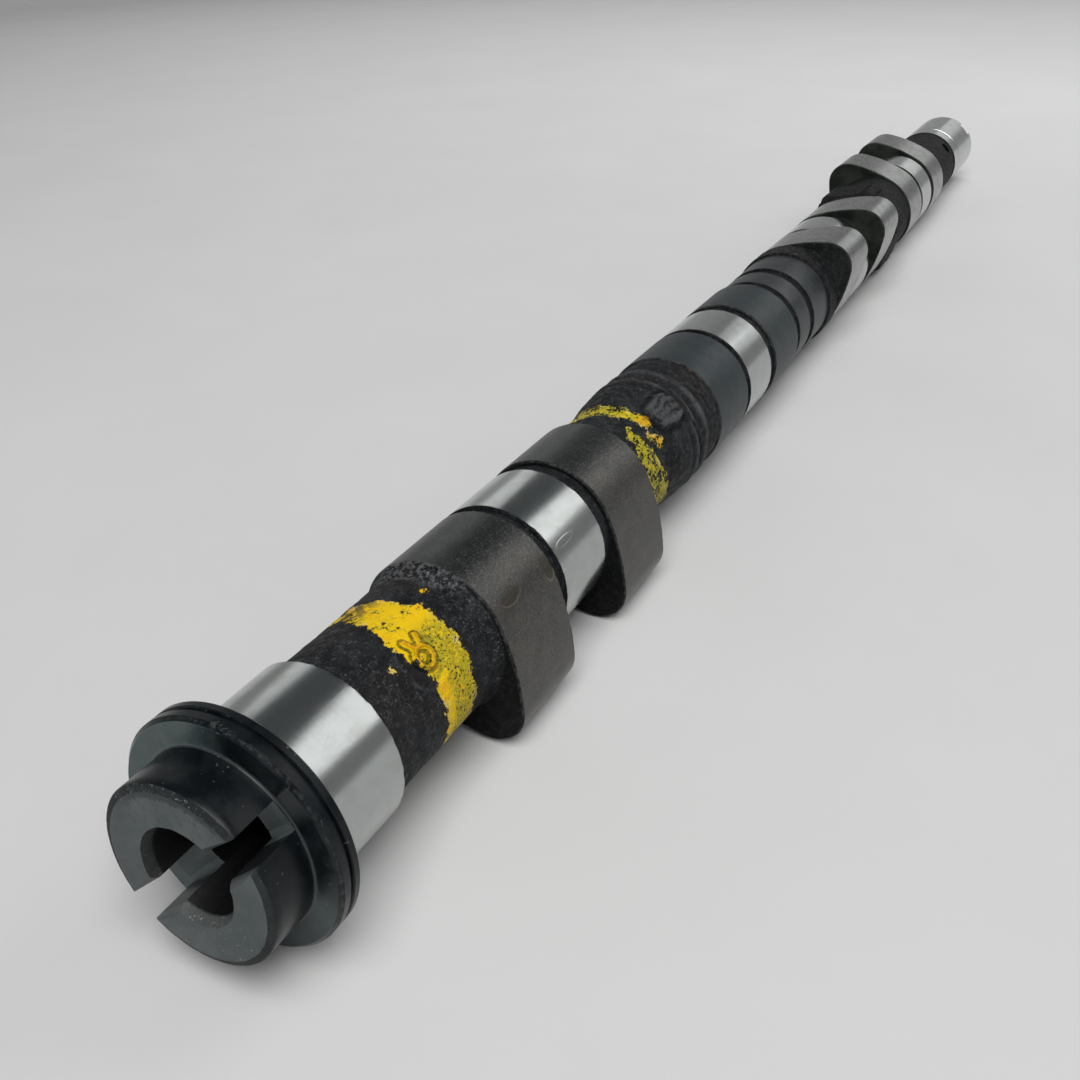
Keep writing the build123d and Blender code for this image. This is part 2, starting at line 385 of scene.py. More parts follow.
def cam(start, nose_angle, finish, ahead, behind):
    """One cam: cast sides, broken edges and a ground face."""
    outline = cam_radius(nose_angle)
    end = start + cam_width
    ragged = uneven(start, outline, *cam_edge_humps)
    side_face(start, ahead, outline - cam_edge, -1)
    ring(start + np.maximum(ragged, 0) * 0.5, outline - cam_edge, "cam_side", 0.8)
    ring(start + cam_edge + 0.1 + ragged, outline, "cam_side", 1.0)
    for part in (0.08, 0.5, 0.92):
        ring(start + cam_width * part, outline, finish)
    ring(end - cam_edge - ragged, outline, finish, 1.0)
    ring(end, outline - cam_edge, "cam_side", 0.8)
    side_face(end, outline - cam_edge, behind, 1)


def journal(start, length, ahead, behind):
    """Ground journal with ragged edges where it meets the cast skin."""
    end = start + length
    ragged = uneven(start, journal_radius, *journal_edge_humps)
    ring(start - 0.05, ahead, "cast")
    ring(start, journal_radius - journal_edge, "cast", 0.5)
    ring(start + journal_edge + ragged, journal_radius, "cam_side", 1.0)
    for part in (0.12, 0.88):
        ring(start + length * part, journal_radius, "journal")
    ring(end - journal_edge + ragged, journal_radius, "journal", 1.0)
    ring(end, journal_radius - journal_edge, "cam_side", 0.5)
    ring(end + 0.05, behind, "cast")


def cam_pair(cylinder, finish, ahead, behind):
    """The two cams of a cylinder and the journal between them."""
    start = pair_starts[cylinder]
    first_end = start + cam_width
    journal_start = first_end + gap_ahead
    journal_end = journal_start + journal_length
    second_start = journal_end + gap_behind
    cam(start, nose_angles[cylinder], finish, ahead, gap_radius)
    cast_run(((first_end + side_root, gap_radius), (journal_start - 0.3, gap_radius)), 0.5)
    journal(journal_start, journal_length, gap_radius, gap_radius)
    cast_run(((journal_end + 0.4, gap_radius), (second_start - side_root, gap_radius)), 0.5)
    cam(second_start, nose_angles[cylinder], finish, gap_radius, behind)


def boss():
    """Boss of the drive end: its face, its dropped and dented rim, and its side down to the flange, with a
    painted highlight along its root.
    """
    rim_radius = boss_radius - boss_rim_width
    rim_end = boss_face + boss_rim_drop
    for radius in (3.0, 6.0, 7.2, 8.4, 9.8, 11.0, rim_radius - 1.3):
        ring(boss_face, radius, "face")
    rough = uneven(boss_face, boss_radius, *rim_humps)
    dents = np.maximum(rough, 0)
    ring(boss_face, rim_radius + rough, "face", 0.6)
    ring(boss_face + boss_rim_drop * 0.3 + dents, boss_radius - boss_rim_width * 0.65, "rim")
    ring(boss_face + boss_rim_drop * 0.62 + dents, boss_radius - boss_rim_width * 0.3, "rim")
    ring(rim_end, boss_radius - 0.08 - dents, "rim", 0.4)
    ring(rim_end + 0.12 + dents, boss_radius, "black", 0.4)
    for part in (0.18, 0.4, 0.65, 0.9):
        ring(rim_end + (flange_front - boss_root - rim_end) * part, boss_radius, "black")
    # High edge wear on the root's rounding paints a light line along it: a painted highlight
    for angle, worn in ((0, 0.5), (30, 1.1), (60, 1.2), (90, 0.5)):
        sweep = math.radians(angle)
        place = flange_front - boss_root * (1 - math.sin(sweep))
        ring(place, boss_radius + boss_root * (1 - math.cos(sweep)), "black", worn)


def thrust_flange():
    """Grooved thrust flange, with dented edges."""
    dents = np.maximum(lumps(flange_front, flange_radius, 1.8, seed=53.0) - 0.3, 0) * 0.35
    groove_start, groove_end, groove_depth = flange_groove
    for place, radius, worn in (
        (flange_front, 14.6, 0.0),
        (flange_front, 15.4, 0.0),
        (flange_front, 16.3, 0.0),
        (flange_front, flange_radius - flange_edge, 0.7),
        (flange_front + flange_edge * 0.5, flange_radius - flange_edge * 0.45 - dents, 0.9),
        (flange_front + flange_edge, flange_radius - dents * 0.4, 0.8),
        (groove_start - 0.1, flange_radius, 0.3),
        (groove_start, flange_radius - 0.1, 0.8),
        (groove_start + 0.1, flange_radius - groove_depth, 0.0),
        (groove_end - 0.1, flange_radius - groove_depth, 0.0),
        (groove_end, flange_radius - 0.1, 0.8),
        (groove_end + 0.1, flange_radius, 0.3),
        (-flange_back_edge, flange_radius, 0.6),
        (0, flange_radius - flange_back_edge, 0.8),
        (0, 15.5, 0.0),
        (0, journal_radius + 0.05, 0.0),
    ):
        ring(place, radius, "black", worn)


def front_journal():
    """Ground journal behind the flange, with a ragged far edge."""
    for part in (0.02, 0.1, 0.5, 0.9):
        ring(front_journal_length * part, journal_radius, "journal")
    ragged = uneven(front_journal_length, journal_radius, *front_journal_humps)
    ring(front_journal_length - 0.2 + ragged, journal_radius, "journal", 1.0)
    ring(front_journal_length + 0.1 + ragged, journal_radius - 0.35, "cam_side", 0.6)


def middle_bands():
    """Groove, raised band, groove and turned locating band between the second and third cylinders."""
    start = pair_ends[1]
    for radius, ahead, behind, finish in bands:
        raised_band = finish == "band"
        edge = band_edge if raised_band else 0.0
        shade = 0.0 if raised_band else band_groove_shade
        ring(start + ahead, radius - edge, "cast", 0.3, shade)
        ring(start + ahead + band_edge, radius, "cast", 0.6, shade)
        for part in (0.2, 0.4, 0.6, 0.8):
            place = start + ahead + (behind - ahead) * part
            ring(place, radius + 0.02 * lumps(place, radius, 1.2), finish, 0.0, shade)
        ring(start + behind - band_edge, radius, finish, 0.6)
        ring(start + behind, radius - edge, finish, 0.3)
    shank_start = start + bands[-1][2] + 0.2
    cast_run(((shank_start, third_shank_radius), (pair_starts[2] - 0.7, third_shank_radius)), 0.6)


def hexagon_radius(place):
    """Radius of the spanner hexagon with rounded corners and sloped ends, at a place along the shaft."""
    start = pair_ends[2] + hexagon_gap
    end = start + hexagon_length
    half_side = math.radians(30)
    off = np.radians(np.minimum(np.abs((turn_degrees - timing_angle + 30) % 60 - 30), 30))
    straight = hexagon_flat / np.cos(off)
    corner_place = (hexagon_flat - hexagon_corner_round) / math.cos(half_side)
    from_corner = half_side - off
    aside = np.minimum(corner_place * np.sin(from_corner), hexagon_corner_round)
    rounded = corner_place * np.cos(from_corner) + np.sqrt(hexagon_corner_round**2 - aside**2)
    at_corner = (rounded < straight) & (from_corner * corner_place < hexagon_corner_round)
    slope = (hexagon_corner - hexagon_foot) / hexagon_slope
    limit = hexagon_foot + min(place - start, end - place) * slope
    return np.maximum(np.minimum(np.where(at_corner, rounded, straight), limit), hexagon_foot)


def hexagon_run():
    """Cast body with the spanner hexagon between the third and fourth cylinders."""
    for place in np.linspace(pair_ends[2] + side_root, pair_starts[3] - side_root, 40):
        radius = hexagon_radius(place)
        height, raised = relief(place, radius)
        ring(place, radius + height, "cast", raised=raised)


def tail():
    """Tail shank, ground seat with its fine line, and end face."""
    cast_run(((pair_ends[3] + side_root, tail_radius), (seat_start - 0.3, tail_radius)), 1.0)
    ring(seat_start, tail_radius + 0.1, "cast", 0.4)
    ring(seat_start + 0.15, seat_radius, "cam_side", 1.0)
    line_place, line_width, line_depth = seat_line
    line_end = line_place + line_width
    for place, depth in (
        (seat_start + 2, 0), (seat_start + 6, 0), (line_place, 0), (line_place + 0.15, line_depth),
        (line_end - 0.15, line_depth), (line_end, 0), (420.0, 0), (428.0, 0), (436.0, 0), (440.0, 0),
    ):
        ring(place, seat_radius - depth, "journal")
    ring(seat_end - seat_edge, seat_radius, "journal", 0.9)
    ring(seat_end, seat_radius - seat_edge, "cut", 0.9)
    for radius in (10.4, 8.6, 7.0, 4.0):
        ring(seat_end, radius, "cut")


def build_rings():
    """All rings of the shaft, in their order along it."""
    boss()
    thrust_flange()
    front_journal()
    for points, pitch in front_shank:
        cast_run(points, pitch)
    cam_pair(0, "front_cam", first_cam_foot, front_shank_radius)
    cast_run((
        (pair_ends[0] + side_root, 12.25),
        (110.0, 12.2),
        (118.0, second_shank_radius),
        (pair_starts[1] - side_root, second_shank_radius),
    ), 0.65)
    cam_pair(1, "middle_cam", second_shank_radius, bands[0][0])
    middle_bands()
    cam_pair(2, "rear_cam", third_shank_radius, hexagon_foot)
    hexagon_run()
    cam_pair(3, "rear_cam", hexagon_foot, tail_radius)
    tail()


def paint_depth(place, radius):
    """How far inside the paint each point of a ring lies, in mm; below zero outside it."""
    depth = np.full(ROUND, no_paint)
    for stroke in paint_strokes:
        for start, end in zip(stroke, stroke[1:]):
            end_round = math.radians(end[1] - start[1]) * radius.mean()
            off, part = to_stroke(place, around(start[1], radius), (start[0], 0.0), (end[0], end_round))
            depth = np.maximum(depth, start[2] + (end[2] - start[2]) * part - off)
    return depth


def cap_faces(tip, first, count):
    """Triangles from a point to the ring of points that starts at first."""
    return [(tip, first + i, first + (i + 1) % count) for i in range(count)]


def tube_faces(first, levels, count):
    """Faces round a run of rings of points, each joined to the next; the first ring starts at first."""
    faces = []
    for low in range(first, first + (levels - 1) * count, count):
        for i in range(count):
            after = (i + 1) % count
            faces.append((low + i, low + count + i, low + count + after, low + after))
    return faces


def new_mesh(name, points, faces):
    """Mesh from points in millimetres."""
    mesh = bpy.data.meshes.new(name)
    mesh.from_pydata([Vector(point) * MM for point in points], [], faces)
    return mesh


def new_piece(name, data):
    """New object of the scene, from a mesh, a lamp or a camera."""
    piece = bpy.data.objects.new(name, data)
    bpy.context.scene.collection.objects.link(piece)
    return piece


def shaft_mesh():
    """Closed mesh over all the rings, with a finish on each face and wear, paint and relief on each point."""
    build_rings()
    points = [(boss_face, 0.0, 0.0)]
    for place, radius, _, _, _ in rings:
        points += zip(place, radius * np.cos(turn), radius * np.sin(turn))
    points.append((seat_end, 0.0, 0.0))
    last = len(points) - 1
    faces = cap_faces(0, 1, ROUND) + tube_faces(1, len(rings), ROUND)
    faces += [(tip, after, corner) for tip, corner, after in cap_faces(last, last - ROUND, ROUND)]
    mesh = new_mesh("camshaft_casting", points, faces)
    order = list(FINISHES)
    steps = [order.index(finish) for _, _, finish, _, _ in rings]
    steps.append(steps[-1])
    mesh.polygons.foreach_set("material_index", np.repeat(steps, ROUND).astype(np.int32))
    for name, at_tips, values in (
        ("edge_wear", 0.0, [wear for _, _, _, wear, _ in rings]),
        ("paint", no_paint, [paint_depth(place, radius) for place, radius, _, _, _ in rings]),
        ("raised", 0.0, [raised for _, _, _, _, raised in rings]),
    ):
        values = np.concatenate([[at_tips], *values, [at_tips]]).astype(np.float32)
        mesh.attributes.new(name, "FLOAT", "POINT").data.foreach_set("value", values)
    mesh.update()
    return mesh


def across(angle):
    """Unit vector square to the axis."""
    return Vector((0, math.cos(math.radians(angle)), math.sin(math.radians(angle))))


def new_cutter(name, points, faces):
    """Closed solid that is taken out of the shaft, with its faces turned outward."""
    mesh = new_mesh(name, points, faces)
    shape = bmesh.new()
    shape.from_mesh(mesh)
    bmesh.ops.recalc_face_normals(shape, faces=shape.faces)
    shape.to_mesh(mesh)
    shape.free()
    return new_piece(name, mesh)


def lofted(name, sections):
    """Closed solid through sections of points, each joined to the next."""
    count = len(sections[0])
    last = (len(sections) - 1) * count
    ends = [tuple(range(count)), tuple(range(last, last + count))[::-1]]
    points = [point for section in sections for point in section]
    return new_cutter(name, points, ends + tube_faces(0, len(sections), count))


def prism(name, outline, origin, right, up, forward, length):
    """Closed prism: an outline of (right, up) points carried along forward, half of it each way."""
    return lofted(name, [
        [origin + right * a + up * b + forward * side for a, b in outline]
        for side in (-length / 2, length / 2)
    ])


def turned(name, outline, steps=128, rough=0.0):
    """Closed solid turned about the axis from (place, radius) points; the first and last lie on the axis."""
    points = [(outline[0][0], 0, 0), (outline[-1][0], 0, 0)]
    for place, radius in outline[1:-1]:
        for i in range(steps):
            out = across(360 * i / steps)
            dents = 0.0
            if place < boss_face + sink_depth:
                dents = rough * noise.noise((out * radius + Vector((place * 3, 0, 0))) / 0.9)
            points.append(Vector((place, 0, 0)) + out * (radius + dents))
    levels = len(outline) - 2
    faces = cap_faces(0, 2, steps) + tube_faces(2, levels, steps)
    return new_cutter(name, points, faces + cap_faces(1, 2 + (levels - 1) * steps, steps))


# Scored line beside the wall in the floor of the slot, as (distance from the wall, height)
slot_score = ((0.9, 0.0), (1.0, 0.1), (1.1, 0.1), (1.25, 0.0))


def slot_cutter():
    """Cross slot: an arced floor from a disc mill, and eased edges that widen towards the bore."""
    half = slot_width / 2
    above = 1.0
    sections = []
    for along in np.linspace(-20, 20, 61):
        outward = ease((abs(along) - bore_radius) / (boss_radius - bore_radius))
        edge = slot_edge_near_bore + (slot_edge_at_rim - slot_edge_near_bore) * outward
        edge = edge + 0.05 * noise.noise(Vector((along / 1.3, 4.0, 0.0)))
        floor = slot_floor - slot_mill_radius + math.sqrt(slot_mill_radius**2 - along**2)
        wall = [
            (half + edge + above, boss_face - above),
            (half + edge * 0.45, boss_face + edge * 0.45),
            (half, boss_face + edge * 1.1),
            (half, floor),
        ]
        score = [(half - inset, floor + rise) for inset, rise in slot_score]
        far_wall = [(-side, place) for side, place in reversed(wall)]
        middle = across(timing_angle) * along
        sections.append([
            middle + across(timing_angle + 90) * (slot_shift + side) + Vector((place, 0, 0))
            for side, place in wall + score + far_wall
        ])
    return lofted("slot_cutter", sections)


def cutters():
    """Slot, centre bore, side hole, key notch and end bolt hole, each with the finish that it leaves."""
    sideways = across(timing_angle + 90)
    outward = across(timing_angle)
    forward = Vector((1, 0, 0))
    sink_end = boss_face + sink_depth
    bore = turned("bore_cutter", [
        (boss_face - 1, 0), (boss_face - 1, sink_radius + 0.4), (boss_face, sink_radius),
        (boss_face + sink_depth * 0.33, sink_radius - 0.2),
        (boss_face + sink_depth * 0.66, sink_radius - 0.37),
        (sink_end, bore_radius), (bore_end, bore_radius), (bore_end + 4, 0),
    ], rough=0.07)
    bolt_end = seat_end - bolt_depth
    bolt = turned("bolt_cutter", [
        (seat_end + 1, 0), (seat_end + 1, bolt_radius + 1.9), (seat_end - 0.9, bolt_radius),
        (bolt_end, bolt_radius), (bolt_end - 3.2, 0),
    ])
    half = notch_width / 2
    above_seat = 16
    notch = prism(
        "notch_cutter", [(-half, notch_floor), (half, notch_floor), (half, above_seat), (-half, above_seat)],
        forward * seat_end, sideways, outward, forward, 2 * notch_length,
    )
    turns = [math.radians(7.5 * i) for i in range(48)]
    circle = [(side_hole_radius * math.cos(way), side_hole_radius * math.sin(way)) for way in turns]
    hole = prism(
        "hole_cutter", circle, forward * side_hole_place + outward * (side_hole_floor + 10),
        forward, sideways, outward, 20,
    )
    return [("slot", slot_cutter()), ("bore", bore), ("cut", bolt), ("cut", notch), ("cut", hole)]


def cut(shaft, tools):
    """Takes the cutters out of the shaft; each leaves its own finish on the faces that it makes."""
    for finish, tool in tools:
        tool.data.materials.append(shaft.data.materials[list(FINISHES).index(finish)])
        modifier = shaft.modifiers.new("cut", "BOOLEAN")
        modifier.object = tool
        modifier.operation = "DIFFERENCE"
        modifier.solver = "EXACT"
        modifier.material_mode = "TRANSFER"
    graph = bpy.context.evaluated_depsgraph_get()
    done = bpy.data.meshes.new_from_object(shaft.evaluated_get(graph))
    shaft.modifiers.clear()
    shaft.data = done
    for _, tool in tools:
        bpy.data.objects.remove(tool)


def sharpen(mesh, limit=38.0):
    """Smooth shading, with sharp edges at steep corners and round every ground face."""
    ground_finishes = ("journal", "front_cam", "middle_cam", "rear_cam", "band")
    ground = {list(FINISHES).index(name) for name in ground_finishes}
    shape = bmesh.new()
    shape.from_mesh(mesh)
    for face in shape.faces:
        face.smooth = True
    for edge in shape.edges:
        steep = len(edge.link_faces) == 2 and edge.calc_face_angle() > math.radians(limit)
        sides = {face.material_index for face in edge.link_faces}
        edge.smooth = not (steep or (len(sides) == 2 and sides & ground))
    shape.to_mesh(mesh)
    shape.free()


class Value:
    """A number that runs through shader nodes; the usual sums lay the nodes for them."""

    def __init__(self, board, socket):
        self.board = board
        self.socket = socket

    def __add__(self, other):
        return self.board.math("ADD", self, other)

    def __radd__(self, other):
        return self.board.math("ADD", other, self)

    def __sub__(self, other):
        return self.board.math("SUBTRACT", self, other)

    def __rsub__(self, other):
        return self.board.math("SUBTRACT", other, self)

    def __mul__(self, other):
        return self.board.math("MULTIPLY", self, other)

    def __truediv__(self, other):
        return self.board.math("DIVIDE", self, other)

    def __abs__(self):
        return self.board.math("ABSOLUTE", self)

    def most(self, other):
        """The larger of two values."""
        return self.board.math("MAXIMUM", self, other)

    def ease(self, low, high, new_low=0.0, new_high=1.0):
        """Eases the value from one range to another, held at its ends."""
        node = self.board.nodes.new("ShaderNodeMapRange")
        node.interpolation_type = "SMOOTHSTEP"
        for number, part in enumerate((self, low, high, new_low, new_high)):
            self.board.join(part, node.inputs[number])
        return Value(self.board, node.outputs[0])

    def between(self, start, full, fading, end):
        """1 between full and fading, eased down to 0 at start and end."""
        return self.ease(start, full) * self.ease(end, fading)


def colour(value):
    """Adds the alpha that a colour socket asks for."""
    return (*value, 1.0) if isinstance(value, tuple) else value


class Board:
    """Lays shader nodes on a tree; round is the place on the shaft, in mm."""

    def __init__(self, tree):
        self.tree = tree
        self.nodes = tree.nodes
        self.round = None

    def join(self, value, socket):
        """Links a value to a socket, or sets a plain number or colour on it."""
        if isinstance(value, Value):
            self.tree.links.new(value.socket, socket)
        elif value is not None:
            socket.default_value = value

    def values(self, node):
        return {socket.name: Value(self, socket) for socket in node.outputs}

    def group(self, name, **inputs):
        """Places a node group; returns its outputs by name."""
        node = self.nodes.new("ShaderNodeGroup")
        node.node_tree = bpy.data.node_groups[name]
        for socket, value in inputs.items():
            self.join(value, node.inputs[socket])
        return self.values(node)

    def math(self, operation, a, b=None, clamp=False):
        node = self.nodes.new("ShaderNodeMath")
        node.operation = operation
        node.use_clamp = clamp
        self.join(a, node.inputs[0])
        self.join(b, node.inputs[1])
        return Value(self, node.outputs[0])

    def mix(self, amount, first, second):
        """Mixes two colours, from the first at 0 to the second at 1."""
        node = self.nodes.new("ShaderNodeMix")
        node.data_type = "RGBA"
        self.join(amount, node.inputs[0])
        self.join(colour(first), node.inputs[6])
        self.join(colour(second), node.inputs[7])
        return Value(self, node.outputs[2])

    def noise(self, place, size, detail=2.0, rough=0.5):
        """Noise from 0 to 1 over a place in mm, with humps of a size in mm."""
        node = self.nodes.new("ShaderNodeTexNoise")
        self.join(place, node.inputs["Vector"])
        self.join(1 / size, node.inputs["Scale"])
        self.join(detail, node.inputs["Detail"])
        self.join(rough, node.inputs["Roughness"])
        return Value(self, node.outputs["Fac"])

    def grain(self, size, detail=2.0, rough=0.5):
        """Noise over the shaft itself."""
        return self.noise(self.round, size, detail, rough)

    def attribute(self, name):
        node = self.nodes.new("ShaderNodeAttribute")
        node.attribute_name = name
        return Value(self, node.outputs["Fac"])

    def vector(self, x, y, z):
        node = self.nodes.new("ShaderNodeCombineXYZ")
        for number, part in enumerate((x, y, z)):
            self.join(part, node.inputs[number])
        return Value(self, node.outputs[0])

    def split(self, vector):
        """The X, Y and Z of a vector."""
        node = self.nodes.new("ShaderNodeSeparateXYZ")
        self.join(vector, node.inputs[0])
        return [Value(self, socket) for socket in node.outputs]

    def bump(self, height, depth, strength=1.0, normal=None):
        """Bump from a height of 0 to 1, a depth in mm."""
        node = self.nodes.new("ShaderNodeBump")
        self.join(strength, node.inputs["Strength"])
        self.join(depth * MM, node.inputs["Distance"])
        self.join(height, node.inputs["Height"])
        self.join(normal, node.inputs["Normal"])
        return Value(self, node.outputs[0])


class Effect(Board):
    """A node group being built, with its inputs by name; only Round is a vector."""

    def __init__(self, name, inputs, outputs):
        super().__init__(bpy.data.node_groups.new(name, "ShaderNodeTree"))
        for way, sockets in (("INPUT", inputs), ("OUTPUT", outputs)):
            for socket in sockets:
                kind = "NodeSocketVector" if socket == "Round" else "NodeSocketFloat"
                self.tree.interface.new_socket(socket, in_out=way, socket_type=kind)
        self.entry = self.values(self.nodes.new("NodeGroupInput")) if inputs else {}
        self.round = self.entry.get("Round")
        self.result = self.nodes.new("NodeGroupOutput").inputs

    def give(self, **outputs):
        for socket, value in outputs.items():
            self.join(value, self.result[socket])


def shaft_place_effect():
    """Where a point is: as a vector in mm, along the shaft in mm, and its direction in degrees."""
    effect = Effect("shaft_place", (), ("Round", "Along", "Angle"))
    place = effect.values(effect.nodes.new("ShaderNodeTexCoord"))["Object"]
    scale = effect.nodes.new("ShaderNodeVectorMath")
    scale.operation = "SCALE"
    effect.join(place, scale.inputs[0])
    effect.join(1 / MM, scale.inputs["Scale"])
    in_mm = Value(effect, scale.outputs[0])
    along, sideways, up = effect.split(in_mm)
    degrees = effect.math("DEGREES", effect.math("ARCTAN2", up, sideways))
    effect.give(Round=in_mm, Along=along, Angle=effect.math("MODULO", degrees + 360.0, 360.0))


def sand_skin_effect():
    """Skin of a sand casting: its height, its light flecks, its pits and its slow change of tone."""
    effect = Effect("sand_skin", ("Round",), ("Height", "Flecks", "Pits", "Tone"))
    fine = effect.grain(0.36, 3.0, 0.62)
    middle = effect.grain(1.3, 3.0, 0.6)
    slow = effect.grain(7.0, 2.0, 0.55)
    flecks = effect.grain(0.32, 2.0, 0.7).ease(0.57, 0.70) * middle.ease(0.34, 0.62)
    pits = effect.grain(0.75, 2.0, 0.6).ease(0.42, 0.30)
    effect.give(Height=fine * 0.45 + middle * 0.55, Flecks=flecks, Pits=pits, Tone=slow.ease(0.35, 0.68))


def grinding_effect():
    """Marks of a ground surface: fine rings round the shaft, streaks along it, and dull blotches."""
    effect = Effect("grinding", ("Along", "Angle", "Round"), ("Rings", "Streaks", "Blotches"))
    along = effect.entry["Along"]
    angle = effect.entry["Angle"]
    rings_place = effect.vector(along * 5.0, angle * 0.012, 0.0)
    streaks_place = effect.vector(along * 0.07, angle * 0.28, 0.0)
    effect.give(
        Rings=effect.noise(rings_place, 1.0, 3.0, 0.7),
        Streaks=effect.noise(streaks_place, 1.0, 3.0, 0.6),
        Blotches=effect.grain(3.2, 4.0, 0.62).ease(0.40, 0.66),
    )


def worn_edge_effect():
    """Where handling has rubbed an edge bright: strongest on it, and broken up; and small nicks."""
    effect = Effect("worn_edge", ("Round", "Edge", "Reach"), ("Wear", "Nicks"))
    level = effect.entry["Edge"] + (effect.grain(0.9, 4.0, 0.7) - 0.5) * 0.9
    start = 1.0 - effect.entry["Reach"]
    nicks = effect.grain(0.7, 1.0, 0.5).ease(0.745, 0.78)
    effect.give(Wear=level.ease(start, start + 0.22), Nicks=nicks)


def oval_mark_effect():
    """Oval mark on the shaft's side: its inside, and its rim."""
    names = ("Along", "Angle", "Place", "Direction", "Length", "Width", "Radius", "Round")
    effect = Effect("oval_mark", names, ("Inside", "Rim"))
    entry = effect.entry
    from_x = (entry["Along"] - entry["Place"]) / entry["Length"]
    turned_off = effect.math("RADIANS", entry["Angle"] - entry["Direction"])
    from_round = turned_off * entry["Radius"] / entry["Width"]
    off = effect.math("SQRT", from_x * from_x + from_round * from_round)
    off = off + (effect.grain(0.8, 2.0, 0.6) - 0.5) * 0.16
    effect.give(Inside=off.ease(0.56, 0.42), Rim=abs(off - 0.52).ease(0.07, 0.02))


class Finish(Board):
    """A material being built, with the shaft's place already read and a tone that colours are laid over."""

    def __init__(self, name, metallic, specular=0.5):
        self.material = bpy.data.materials.new(name)
        self.material.use_nodes = True
        super().__init__(self.material.node_tree)
        self.shader = self.nodes["Principled BSDF"]
        self.shader.inputs["Metallic"].default_value = metallic
        self.shader.inputs["Specular IOR Level"].default_value = specular
        where = self.group("shaft_place")
        self.round = where["Round"]
        self.along = where["Along"]
        self.angle = where["Angle"]
        self.tone = None

    def base(self, amount, first, second):
        """Starts the tone as a mix of two colours."""
        self.tone = self.mix(amount, first, second)

    def cover(self, amount, tone):
        """Lays a colour over the tone."""
        self.tone = self.mix(amount, self.tone, tone)

    def give(self, rough, normal=None):
        """Hands the tone, roughness and normal to the shader; returns the material."""
        self.join(self.tone, self.shader.inputs["Base Color"])
        self.join(rough, self.shader.inputs["Roughness"])
        self.join(normal, self.shader.inputs["Normal"])
        return self.material

    def skin(self):
        return self.group("sand_skin", Round=self.round)

    def worn(self, reach):
        return self.group("worn_edge", Round=self.round, Edge=self.attribute("edge_wear"), Reach=reach)

    def grinding(self):
        return self.group("grinding", Along=self.along, Angle=self.angle, Round=self.round)

    def oval(self, place, direction, length, width, radius):
        return self.group(
            "oval_mark", Along=self.along, Angle=self.angle, Place=place, Direction=direction, Length=length,
            Width=width, Radius=radius, Round=self.round,
        )


# Black sand-cast skin; the crust's light grains lie on its top side
skin_dark = (0.0028, 0.0034, 0.0040)
skin_grey = (0.0110, 0.0130, 0.0150)
skin_grain = (0.030, 0.034, 0.038)
skin_black_and_shade = (0.0012, 0.0013, 0.0016)
skin_rubbed_and_highlight = (0.085, 0.088, 0.092)
skin_fleck = (0.19, 0.195, 0.20)
skin_brown = (0.022, 0.016, 0.015)
crust_top_side = (25.0, 50.0, 100.0, 128.0)
rear_half = (225.0, 235.0)
rust_tone = (0.065, 0.034, 0.026)
rust_specks = ((136.3, 113.5, 1.6, 1.0), (134.6, 157.5, 1.2, 1.0), (132.9, 133.5, 1.0, 0.8))


def cast_skin(finish):
    """Lays the tone of the black sand-cast skin with its rust specks, lighter where it is raised (rubbed skin
    and painted highlight) and darker where it is sunk (painted shade); returns its roughness and masks.
    """
    skin_marks = finish.skin()
    raised = finish.attribute("raised")
    finish.base(skin_marks["Tone"], skin_dark, skin_grey)
    finish.cover(skin_marks["Height"].ease(0.50, 0.64) * 0.8, skin_grain)
    # Raised places lighter: rubbed skin and painted highlight
    finish.cover(raised.ease(0.05, 0.8) * 0.6, skin_rubbed_and_highlight)
    finish.cover(finish.grain(11.0, 3.0).ease(0.46, 0.66) * 0.4, skin_brown)
    crust = finish.along.between(crust_start, crust_start + 1.2, crust_end, crust_end + 0.4)
    top_side = finish.angle.between(*crust_top_side)
    grains = finish.grain(0.8, 2.0, 0.6).ease(0.47, 0.58)
    finish.cover(grains * (crust * top_side) * 0.85, skin_rubbed_and_highlight)
    fleck_amount = 0.45 + crust * (0.15 + top_side * 0.6)
    finish.cover(finish.math("MULTIPLY", skin_marks["Flecks"], fleck_amount, clamp=True), skin_fleck)
    finish.cover(skin_marks["Pits"] * 0.85, skin_black_and_shade)
    # Sunk places darker: painted shade
    finish.cover(raised.ease(-0.10, -0.7) * 0.9, skin_black_and_shade)
    for place, direction, length, width in rust_specks:
        spot = finish.oval(place, direction, length, width, second_shank_radius)
        finish.cover(spot["Inside"] * 0.5, rust_tone)
    return skin_marks["Height"].ease(0.3, 0.7, 0.80, 0.50), skin_marks


# Yellow paint, with the places along the shaft and the directions where it changes
paint_yellow = (0.74, 0.480, 0.0010)
paint_orange = (0.68, 0.340, 0.0010)
paint_green = (0.24, 0.25, 0.015)
paint_lemon = (0.54, 0.46, 0.010)
paint_cream = (0.60, 0.47, 0.16)
second_stroke = (80.0, 90.0)
far_half_along, far_half_angle = (29.6, 31.2), (108.0, 124.0)
worn_end_along, worn_end_angle = (90.0, 80.0), (88.0, 60.0)
blobs_along, blobs_angle = (108.4, 109.2), (108.0, 114.0, 148.0, 160.0)


